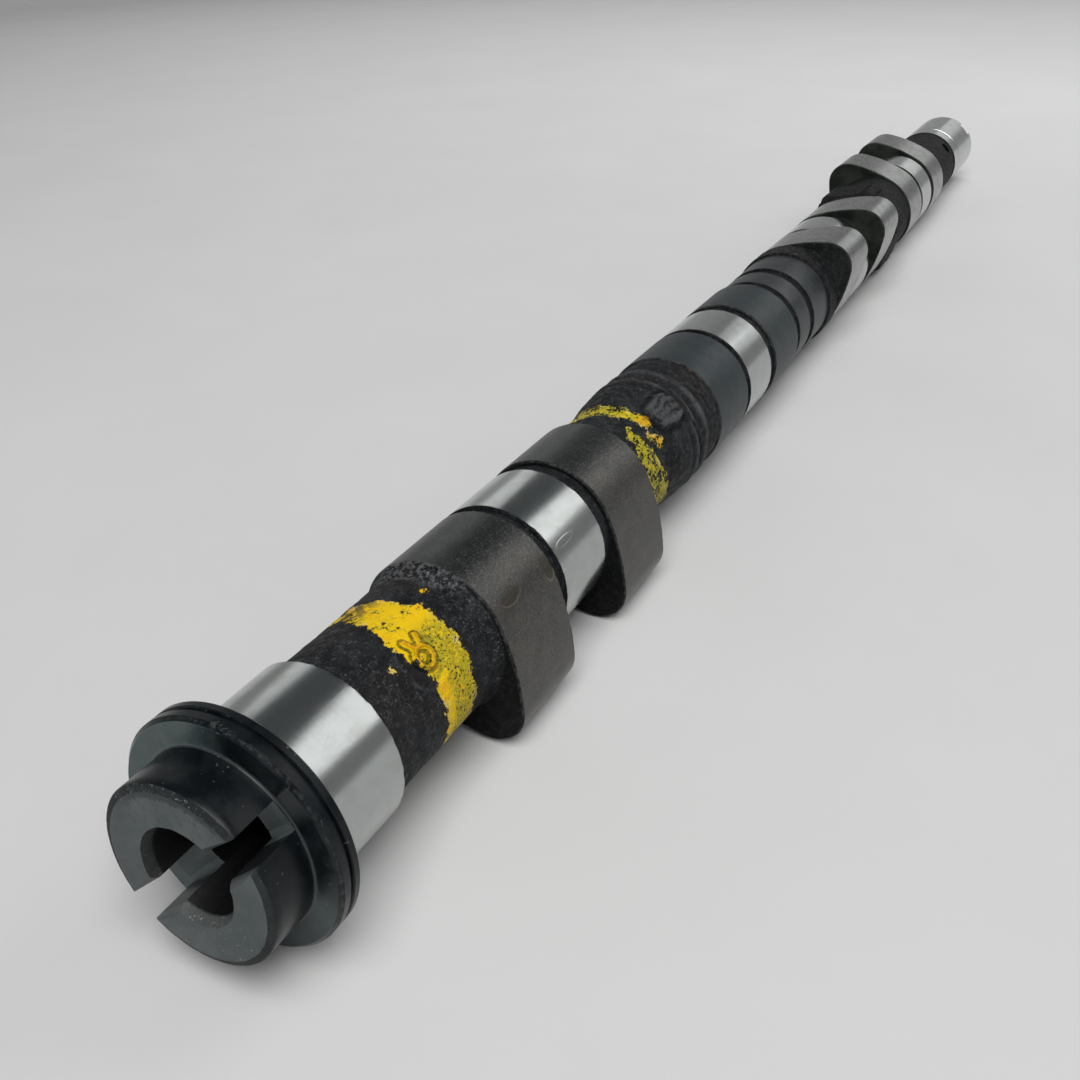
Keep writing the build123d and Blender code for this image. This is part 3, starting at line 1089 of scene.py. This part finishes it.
def brushed_paint(finish):
    """Yellow paint over the cast skin: where it lies, where it is thick, and its colour."""
    raised = finish.attribute("raised")
    depth = finish.attribute("paint") + (finish.grain(1.7, 5.0, 0.70) - 0.5) * 5.0
    second = finish.along.ease(*second_stroke)
    holes = finish.grain(0.55, 2.0, 0.6)
    worn_level = finish.grain(2.6, 2.0, 0.55) * 0.5 + holes * 0.5
    limit = 0.385 + second * 0.090
    dry = raised.ease(-0.25, -0.6)
    inside = depth.ease(0.0, 0.16) * (worn_level.ease(limit - 0.03, limit) * (1.0 - dry * 0.6))
    far_half = finish.along.ease(*far_half_along) * finish.angle.ease(*far_half_angle)
    pinholes = finish.grain(0.5, 2.0, 0.6).ease(0.42, 0.37) * far_half
    worn_end = finish.angle.ease(*worn_end_angle) * finish.along.ease(*worn_end_along)
    gaps = finish.grain(1.5, 3.0, 0.6).ease(0.54, 0.48)
    inside = inside * (1.0 - pinholes.most(gaps * worn_end) * 0.9)
    thick = (finish.grain(2.4, 3.0, 0.6).ease(0.50, 0.70) * 0.6).most(raised.ease(0.35, 0.8))
    yellow = finish.mix(thick, paint_yellow, paint_orange)
    yellow = finish.mix(second * 0.45, yellow, paint_lemon)
    blobs = finish.along.ease(*blobs_along) * finish.angle.between(*blobs_angle) * (second * 0.8)
    yellow = finish.mix(blobs, yellow, paint_orange)
    sunk = raised.ease(-0.12, -0.30) * holes.ease(0.60, 0.42)
    thinned = worn_level.ease(limit + (0.08 + second * 0.07), limit).most(sunk)
    far_half = far_half * finish.grain(0.6, 3.0, 0.7).ease(0.64, 0.50)
    thinned = thinned.most(far_half * 0.85)
    thinned = finish.math("MULTIPLY", thinned, 0.8 - blobs * 0.7, clamp=True)
    yellow = finish.mix(thinned, yellow, paint_green)
    cream = finish.grain(5.0, 2.0).ease(0.46, 0.58)
    return inside, thick, finish.mix(depth.ease(0.9, 0.05) * cream, yellow, paint_cream)


def black_casting():
    """Black skin between the ground parts, with the yellow paint that was brushed over it."""
    finish = Finish("black_casting", 0.0, 0.17)
    rough, skin_marks = cast_skin(finish)
    inside, thick, yellow = brushed_paint(finish)
    finish.cover(finish.along.ease(*rear_half) * 0.8, skin_black_and_shade)
    finish.cover(inside, yellow)
    film = inside * (0.55 + thick * 0.4)
    skin_bump = finish.bump(skin_marks["Height"], 0.42)
    return finish.give(rough + inside * -0.16, finish.bump(film, 0.16, 1.0, skin_bump))


side_tones = ((0.006, 0.008, 0.0065), (0.022, 0.026, 0.020))
side_pit = (0.004, 0.004, 0.004)
side_edge = (0.12, 0.12, 0.115)
side_crust_along, side_crust_angle = (44.6, 44.0), (130.0, 105.0)


def cam_side_casting():
    """Sides of the cams, cast black at the drive end and mottled green-grey towards the driven end."""
    finish = Finish("cam_side_casting", 0.0, 0.15)
    rough, skin_marks = cast_skin(finish)
    crusted = finish.along.ease(*side_crust_along) * finish.angle.ease(*side_crust_angle)
    front = finish.along.ease(130.0, 100.0) * (1.0 - crusted)
    finish.cover(front * 0.75, skin_black_and_shade)
    rubbed = finish.mix(skin_marks["Tone"], *side_tones)
    rubbed = finish.mix(skin_marks["Pits"] * 0.6, rubbed, side_pit)
    finish.cover(finish.along.ease(225.0, 234.0), rubbed)
    finish.cover(finish.worn(0.20)["Wear"] * 0.25, side_edge)
    return finish.give(rough, finish.bump(skin_marks["Height"], 0.30, 0.9))


journal_tones = ((0.436, 0.458, 0.451), (0.412, 0.424, 0.410))
journal_edge_tone = (0.15, 0.14, 0.13)
scratch_tone = (0.20, 0.19, 0.18)
dimple = (67.4, 141.2, 5.6, 1.3)
dimple_glint = (0.80, 0.80, 0.78)


def ground_journal():
    """Bright ground bearing journals, with fine rings, soft streaks and hair scratches."""
    finish = Finish("ground_journal", 1.0)
    marks = finish.grinding()
    finish.base(marks["Blotches"], *journal_tones)
    finish.cover(finish.worn(0.16)["Wear"] * 0.6, journal_edge_tone)
    rough = marks["Rings"].ease(0.3, 0.7, 0.17, 0.205) + marks["Blotches"] * 0.03
    wander = finish.angle * 0.35 + finish.along * 0.5
    hairs = finish.noise(finish.vector(finish.along * 0.18, wander, 0.0), 0.35, 2.0, 0.5)
    hairs = abs(hairs - 0.5).ease(0.012, 0.004) * finish.grain(5.0, 1.0).ease(0.52, 0.62)
    finish.cover(hairs * 0.35, scratch_tone)
    dent = finish.oval(*dimple, journal_radius)
    finish.cover(dent["Rim"] * 0.3, dimple_glint)
    ring_bump = finish.bump(marks["Rings"], 0.0014, 0.6)
    streak_bump = finish.bump(marks["Streaks"], 0.010, 0.7, ring_bump)
    return finish.give(rough, finish.bump(dent["Inside"], 0.025, 0.7, streak_bump))


grey_brown_and_floor_reflection_tones = ((0.074, 0.073, 0.068), (0.094, 0.088, 0.080))
blue_black_and_dark_reflection_tones = ((0.036, 0.040, 0.040), (0.050, 0.053, 0.053))
flank_speck = (0.19, 0.185, 0.17)
flank_pit = (0.022, 0.022, 0.022)
oval_marks = ((48.9, 141.5, 5.2, 2.6), (59.8, 146.0, 2.6, 4.4))
oval_stain = (0.062, 0.044, 0.028)
oval_glint = (0.24, 0.21, 0.17)


def ground_front_cam():
    """First cylinder's cams, split by direction into a blue-black upward side and a dull grey-brown downward
    side, both the metal's tone and a painted dark reflection above and painted floor reflection below, with
    stains.
    """
    finish = Finish("ground_front_cam", 0.8)
    marks = finish.grinding()
    grain = finish.grain(0.40, 2.0, 0.7)
    dark = finish.mix(marks["Blotches"], *blue_black_and_dark_reflection_tones)
    light = finish.mix(marks["Blotches"], *grey_brown_and_floor_reflection_tones)
    mottled = finish.angle + (grain - 0.5) * 60.0
    # Painted reflection: the upward side darker and the downward side lighter, over the metal's own
    # blue-black and grey-brown
    finish.base(mottled.ease(98.0, 138.0), dark, light)
    finish.cover(grain.ease(0.52, 0.72) * 0.45, flank_speck)
    finish.cover(grain.ease(0.44, 0.30) * 0.55, flank_pit)
    for place, direction, length, width in oval_marks:
        spot = finish.oval(place, direction, length, width, base_radius)
        finish.cover(spot["Inside"] * 0.45, oval_stain)
        finish.cover(spot["Rim"] * finish.angle.ease(direction, direction + 5.0) * 0.5, oval_glint)
    return finish.give(grain.ease(0.3, 0.7, 0.30, 0.44), finish.bump(grain, 0.035, 0.8))


middle_cam_tones = ((0.018, 0.026, 0.029), (0.026, 0.034, 0.037))
middle_cam_speck = (0.06, 0.068, 0.073)


def ground_middle_cam():
    """Second cylinder's cams, matt blue-grey."""
    finish = Finish("ground_middle_cam", 0.22, 0.32)
    marks = finish.grinding()
    grain = finish.grain(0.4, 2.0, 0.65)
    finish.base(marks["Blotches"], *middle_cam_tones)
    finish.cover(grain.ease(0.50, 0.75) * 0.3, middle_cam_speck)
    return finish.give(marks["Rings"].ease(0.3, 0.7, 0.40, 0.50), finish.bump(grain, 0.02, 0.5))


rear_cam_tones = ((0.262, 0.270, 0.264), (0.212, 0.218, 0.210))
rear_cam_edge = (0.11, 0.09, 0.07)


def ground_rear_cam():
    """Third and fourth cylinders' cams, ground grey."""
    finish = Finish("ground_rear_cam", 1.0)
    marks = finish.grinding()
    finish.base(marks["Blotches"], *rear_cam_tones)
    finish.cover(finish.worn(0.16)["Wear"] * 0.5, rear_cam_edge)
    rough = marks["Blotches"].ease(0.0, 1.0, 0.25, 0.29)
    return finish.give(rough, finish.bump(marks["Rings"], 0.0014, 0.6))


band_tones = ((0.017, 0.022, 0.025), (0.030, 0.034, 0.037))
band_rust = (0.020, 0.015, 0.012)


def satin_band():
    """Turned bands between the second and third cylinders."""
    finish = Finish("satin_band", 0.35, 0.4)
    marks = finish.grinding()
    finish.base(marks["Blotches"], *band_tones)
    finish.cover(finish.worn(0.30)["Wear"] * 0.7, band_rust)
    return finish.give(marks["Rings"].ease(0.3, 0.7, 0.36, 0.46), finish.bump(marks["Rings"], 0.005, 0.6))


black_tones = ((0.0022, 0.0036, 0.0048), (0.0060, 0.0085, 0.0100))
black_smear = (0.024, 0.022, 0.025)
black_rubbed_and_highlight = (0.075, 0.085, 0.086)
bare_metal = (0.18, 0.19, 0.19)
flange_green = ((0.056, 0.078, 0.080), (0.078, 0.100, 0.100))
flange_dark_reflection_tones = ((0.003, 0.005, 0.006), (0.010, 0.014, 0.016))
dark_reflection_far_side = (66.0, 100.0, 175.0, 215.0)
dark_reflection_low_side = (175.0, 215.0, 270.0, 300.0)
flange_scuff = (85.0, 90.0, 94.0, 100.0)


def black_phosphate():
    """Blackened boss and thrust flange, with a greener flange face painted darker on its far and low sides as
    painted dark reflection and shadow, rubbed edges with a painted highlight along the boss's root, and
    scuffs on one side.
    """
    finish = Finish("black_phosphate", 0.0, 0.22)
    marks = finish.grinding()
    worn = finish.worn(0.20)
    finish.base(marks["Blotches"], *black_tones)
    finish.cover(marks["Rings"].ease(0.55, 0.85) * 0.25, black_smear)
    green = finish.mix(marks["Blotches"], *flange_green)
    # Painted dark reflection and shadow on the flange's face: darker on its far side and, less, on its low
    # side
    dark_reflection_tone = finish.mix(marks["Blotches"], *flange_dark_reflection_tones)
    dark_reflection_mask = finish.angle.between(*dark_reflection_far_side).most(finish.angle.between(*dark_reflection_low_side) * 0.55)
    near, far = flange_front - 0.12, flange_front + 0.12
    face = finish.along.between(near, near + 0.1, far - 0.1, far)
    finish.cover(face, finish.mix(dark_reflection_mask, green, dark_reflection_tone))
    # Rubbed edges, and the light line along the boss's root, which is a painted highlight
    finish.cover(worn["Wear"] * 0.32, black_rubbed_and_highlight)
    scuffed = finish.angle.between(*flange_scuff) * finish.attribute("edge_wear").ease(0.45, 0.75)
    scuffed = scuffed * finish.grain(0.5, 3.0, 0.7).ease(0.56, 0.62)
    finish.cover(scuffed.most(worn["Nicks"] * 0.8) * 0.38, bare_metal)
    rough = marks["Blotches"].ease(0.0, 1.0, 0.28, 0.36)
    return finish.give(rough, finish.bump(marks["Rings"], 0.003, 0.6))


face_tones = ((0.050, 0.062, 0.064), (0.074, 0.087, 0.087))
face_fleck = (0.18, 0.20, 0.195)
face_dark = (0.022, 0.026, 0.027)
face_nick = (0.30, 0.33, 0.32)
face_dark_side = (25.0, 55.0, 112.0, 140.0)
face_nicked_side = (190.0, 225.0, 270.0, 300.0)


def phosphate_face():
    """Grey end face of the boss, dark near its rim, with small bright nicks low down."""
    finish = Finish("phosphate_face", 0.0, 0.35)
    skin_marks = finish.skin()
    worn = finish.worn(0.25)
    finish.base(skin_marks["Tone"], *face_tones)
    finish.cover(skin_marks["Flecks"] * 0.12, face_fleck)
    near_rim = finish.attribute("edge_wear") + (skin_marks["Height"] - 0.5) * 1.6
    near_rim = near_rim.ease(0.04, 0.30) * finish.angle.between(*face_dark_side)
    finish.cover(near_rim * 0.85, face_dark)
    specks = finish.grain(0.42, 2.0, 0.6).ease(0.62, 0.68) * finish.grain(2.2, 1.0).ease(0.48, 0.62)
    specks = specks * finish.angle.between(*face_nicked_side)
    finish.cover(specks.most(worn["Nicks"] * 0.5) * 0.8, face_nick)
    rough = skin_marks["Height"].ease(0.3, 0.7, 0.46, 0.60)
    return finish.give(rough, finish.bump(skin_marks["Height"], 0.02, 0.6))


rim_tones = ((0.009, 0.011, 0.012), (0.020, 0.025, 0.026))
rim_grain = (0.32, 0.34, 0.33)
rim_pit = (0.008, 0.009, 0.010)
rim_grained_side = (25.0, 55.0, 112.0, 135.0)


def rough_rim():
    """Dark broken rim round the boss's end face, with light grains on its upper right."""
    finish = Finish("rough_rim", 0.0, 0.2)
    skin_marks = finish.skin()
    finish.base(skin_marks["Tone"], *rim_tones)
    finish.cover(skin_marks["Flecks"] * (0.12 + finish.angle.between(*rim_grained_side) * 0.6), rim_grain)
    finish.cover(skin_marks["Pits"] * 0.7, rim_pit)
    return finish.give(0.6, finish.bump(skin_marks["Height"], 0.14, 0.9))


slot_floor_tones = ((0.058, 0.076, 0.080), (0.105, 0.124, 0.128))
slot_line_tone = (0.17, 0.19, 0.195)
slot_wall_shade_tones = ((0.004, 0.005, 0.006), (0.012, 0.015, 0.017))
slot_edge_lit_tone = (0.048, 0.058, 0.059)


def slot_wall():
    """Milled floor of the cross slot with lines along it, and its walls painted dark as painted shade, with a
    lighter band next to the boss's end face as painted light.
    """
    finish = Finish("slot_wall", 0.0, 0.3)
    _, sideways, up = finish.split(finish.round)
    across_slot = (sideways + up) * -math.sqrt(0.5)
    lines = finish.noise(finish.vector(across_slot * 2.4, 0.0, 0.0), 1.0, 3.0, 0.7)
    cloud = finish.grain(2.5, 3.0, 0.6)
    finish.base(cloud, *slot_floor_tones)
    finish.cover(lines.ease(0.5, 0.72) * 0.5, slot_line_tone)
    # Painted shade on the slot's walls, and a painted lit band where they meet the end face
    lit_near_face = finish.along.ease(boss_face + 1.15, boss_face + 0.85)
    wall = finish.mix(lit_near_face, finish.mix(cloud, *slot_wall_shade_tones), slot_edge_lit_tone)
    finish.cover(finish.along.ease(slot_floor - 1.95, slot_floor - 2.15), wall)
    return finish.give(lines.ease(0.3, 0.7, 0.38, 0.50), finish.bump(lines, 0.01, 0.5))


bore_mouth_tones = ((0.012, 0.012, 0.012), (0.040, 0.043, 0.043))
bore_mouth_light = (0.10, 0.108, 0.108)
bore_grain = (0.36, 0.37, 0.37)
bore_depth_shade = (0.0010, 0.0012, 0.0014)
bore_light_side = (180.0, 215.0, 290.0, 320.0)


def bore_wall():
    """Rough light mouth of the centre bore, and its inside painted dark as painted shade."""
    finish = Finish("bore_wall", 0.0, 0.3)
    skin_marks = finish.skin()
    low = finish.angle.between(*bore_light_side)
    finish.base(skin_marks["Tone"], *bore_mouth_tones)
    finish.cover(low * 0.5, bore_mouth_light)
    finish.cover(skin_marks["Flecks"] * (0.12 + low * 0.6), bore_grain)
    sink_end = boss_face + sink_depth
    # Painted shade inside the bore beyond its countersink
    finish.cover(finish.along.ease(sink_end - 0.25, sink_end + 0.2), bore_depth_shade)
    return finish.give(0.6, finish.bump(skin_marks["Height"], 0.16, 0.9))


cut_tones = ((0.36, 0.365, 0.36), (0.26, 0.26, 0.25))
cut_deep_shade = (0.03, 0.03, 0.03)


def machined_cut():
    """Faced and drilled places at the driven end, painted dark as painted shade deep in the bolt hole and in
    the side hole.
    """
    finish = Finish("machined_cut", 1.0)
    marks = finish.grinding()
    finish.base(marks["Blotches"], *cut_tones)
    # Painted shade deep in the bolt hole and in the side hole
    finish.cover(finish.along.ease(437.0, 432.0), cut_deep_shade)
    rough = marks["Blotches"].ease(0.0, 1.0, 0.34, 0.48)
    return finish.give(rough, finish.bump(marks["Rings"], 0.01, 0.6))


# The finishes that a ring or a cutter can name, in the order of the mesh's materials
FINISHES = {
    "cast": black_casting,
    "cam_side": cam_side_casting,
    "journal": ground_journal,
    "front_cam": ground_front_cam,
    "middle_cam": ground_middle_cam,
    "rear_cam": ground_rear_cam,
    "band": satin_band,
    "black": black_phosphate,
    "face": phosphate_face,
    "rim": rough_rim,
    "cut": machined_cut,
    "slot": slot_wall,
    "bore": bore_wall,
}


def build_effects():
    shaft_place_effect()
    sand_skin_effect()
    grinding_effect()
    worn_edge_effect()
    oval_mark_effect()


def make_shaft():
    """The whole shaft as one mesh, which takes the place of the solid."""
    mesh = shaft_mesh()
    shaft = new_piece("camshaft_casting", mesh)
    for build_finish in FINISHES.values():
        mesh.materials.append(build_finish())
    cut(shaft, cutters())
    sharpen(shaft.data)
    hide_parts("camshaft")
    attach(shaft, "root")


# The floor is the plane that two cam noses and the last cam's base circle lie on, swept up into a round wall
rest_height = -18.2
rest_rise_x = 0.0122
rest_rise_y = -0.0587
floor_middle = (200.0, 0.0)
floor_rings = (600.0, 1300.0)
floor_steps = 96
sweep_radius = 420.0
sweep_steps = 12
wall_height = 1100.0
floor_tones = ((0.56, 0.56, 0.555), (0.61, 0.61, 0.605))


def pale_floor():
    """Pale matt floor with a faint unevenness."""
    finish = Finish("pale_floor", 0.0, 0.2)
    finish.base(finish.grain(60.0, 3.0, 0.6), *floor_tones)
    return finish.give(0.85)


def rest_plane(x, y, up=0.0):
    """Point at a height above the plane that the shaft rests on."""
    return (x, y, rest_height + rest_rise_x * x + rest_rise_y * y + up)


def make_floor():
    """Pale floor at the height the shaft rests at, swept up into a round backdrop."""
    sweep_start = floor_rings[-1]
    profile = [(out, 0.0) for out in floor_rings]
    for step in range(1, sweep_steps + 1):
        sweep = math.radians(90 * step / sweep_steps)
        profile.append((sweep_start + sweep_radius * math.sin(sweep), sweep_radius * (1 - math.cos(sweep))))
    profile.append((sweep_start + sweep_radius, wall_height))
    points = [rest_plane(*floor_middle)]
    for out, up in profile:
        for step in range(floor_steps):
            way = 2 * math.pi * step / floor_steps
            x = floor_middle[0] + out * math.cos(way)
            y = floor_middle[1] + out * math.sin(way)
            points.append(rest_plane(x, y, up))
    faces = cap_faces(0, 1, floor_steps) + tube_faces(1, len(profile), floor_steps)
    mesh = new_mesh("studio_floor", points, faces)
    for face in mesh.polygons:
        face.use_smooth = True
    mesh.materials.append(pale_floor())
    floor = new_piece("studio_floor", mesh)


def soft_box(name, azimuth, elevation, distance, size, power, over=(0.2, 0, 0), aim=None):
    """Soft light at a distance in m and a direction in degrees from a point, aimed there or elsewhere."""
    lamp = bpy.data.lights.new(name, "AREA")
    lamp.shape = "RECTANGLE"
    lamp.size, lamp.size_y = size
    lamp.energy = power
    light = new_piece(name, lamp)
    flat = math.cos(math.radians(elevation)) * distance
    light.location = Vector(over) + Vector((
        flat * math.cos(math.radians(azimuth)),
        flat * math.sin(math.radians(azimuth)),
        distance * math.sin(math.radians(elevation)),
    ))
    away = light.location - Vector(aim or over)
    light.rotation_euler = away.to_track_quat("Z", "Y").to_euler()
    light.visible_camera = False


def make_lights():
    """Plain soft boxes round the shaft, and a weak cool sky."""
    soft_box("key_box", -33, 39.5, 1.2, (0.78, 0.68), 2.45, over=(0.008, 0, 0))
    soft_box("left_box", 49, 26, 1.2, (0.55, 0.5), 0.53)
    soft_box("front_box", 205, 58, 1.3, (0.9, 0.9), 17)
    soft_box("middle_box", -12, 22, 0.6, (0.26, 0.18), 0.085, over=(0.163, 0, 0))
    soft_box("far_strip", -4, 13, 1.25, (0.32, 0.12), 0.07)
    soft_box("backdrop_box", 12, 60, 0.9, (0.4, 0.4), 3.4, aim=(1.5, 0.55, 0.1))
    world = bpy.data.worlds.new("studio")
    bpy.context.scene.world = world
    world.use_nodes = True
    sky = world.node_tree.nodes["Background"]
    sky.inputs["Color"].default_value = (0.9, 0.95, 1.0, 1)
    sky.inputs["Strength"].default_value = 0.10


# The camera as in the photograph, in millimetres and degrees
camera_place = (-80.24, -84.61, 113.84)
camera_turn = (63.789, -1.325, -62.0)
camera_lens = 38.364
camera_sensor = 36
camera_shift = (-0.01438, -0.11868)


def make_camera():
    """The camera, and the plain view transform that the picture is made with."""
    data = bpy.data.cameras.new("camera")
    data.sensor_width = camera_sensor
    data.lens = camera_lens
    data.shift_x, data.shift_y = camera_shift
    data.clip_start = 0.01
    camera = new_piece("camera", data)
    camera.location = Vector(camera_place) * MM
    camera.rotation_euler = Euler([math.radians(angle) for angle in camera_turn])
    bpy.context.scene.camera = camera
    bpy.context.scene.view_settings.view_transform = "Standard"


build_effects()
make_shaft()
make_floor()
make_lights()
make_camera()
